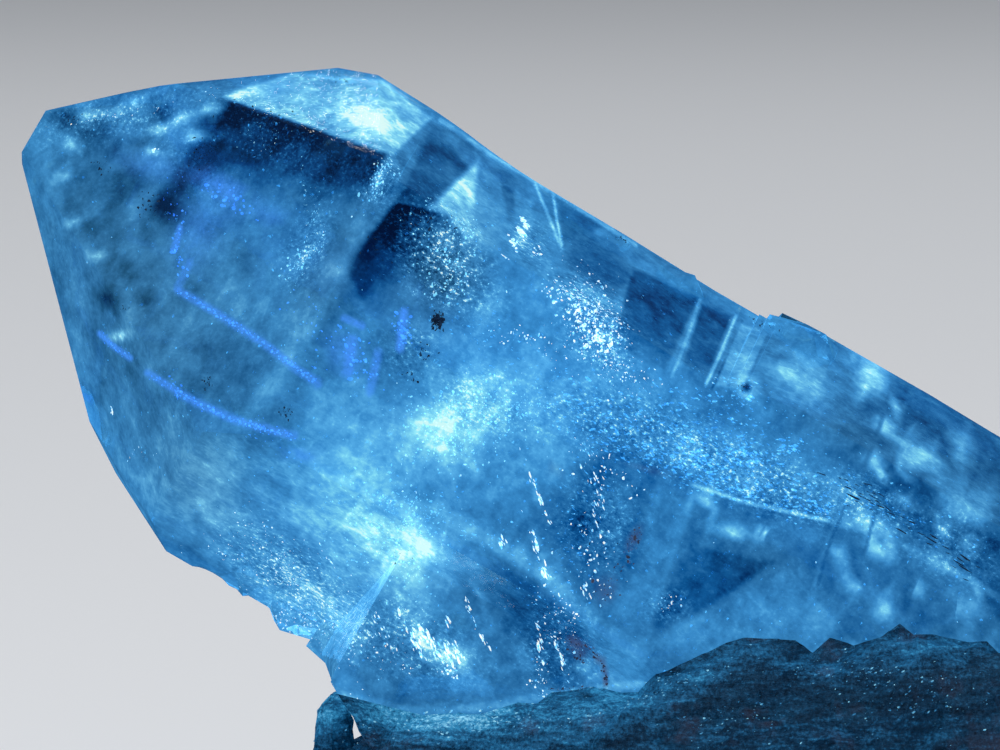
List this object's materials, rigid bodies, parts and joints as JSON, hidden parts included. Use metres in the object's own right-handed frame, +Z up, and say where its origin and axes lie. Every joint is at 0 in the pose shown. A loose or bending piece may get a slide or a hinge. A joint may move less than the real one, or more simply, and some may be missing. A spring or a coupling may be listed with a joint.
{
  "type": "petroleum quartz crystal",
  "caption": "Clear blue-glowing quartz point with a blunt pyramid tip, leaning on its own rough broken foot; stands on a flat base.",
  "frame": {"origin": "under the middle of the specimen, on the surface it rests on", "axes": "+X from the tip towards the foot's far end, along the specimen's length; +Y towards the back; +Z up. The crystal's own long axis rises 30 degrees towards -X"},
  "size_m": [0.0302, 0.0152, 0.0177],
  "materials": {
    "quartz": "clear quartz with smooth, faintly stepped faces and a rough foot, full of hazy blue-glowing clouds and sparkling oil and gas inclusions"
  },
  "bodies": {
    "root": {"quartz_crystal": "quartz"}
  },
  "joints": []
}
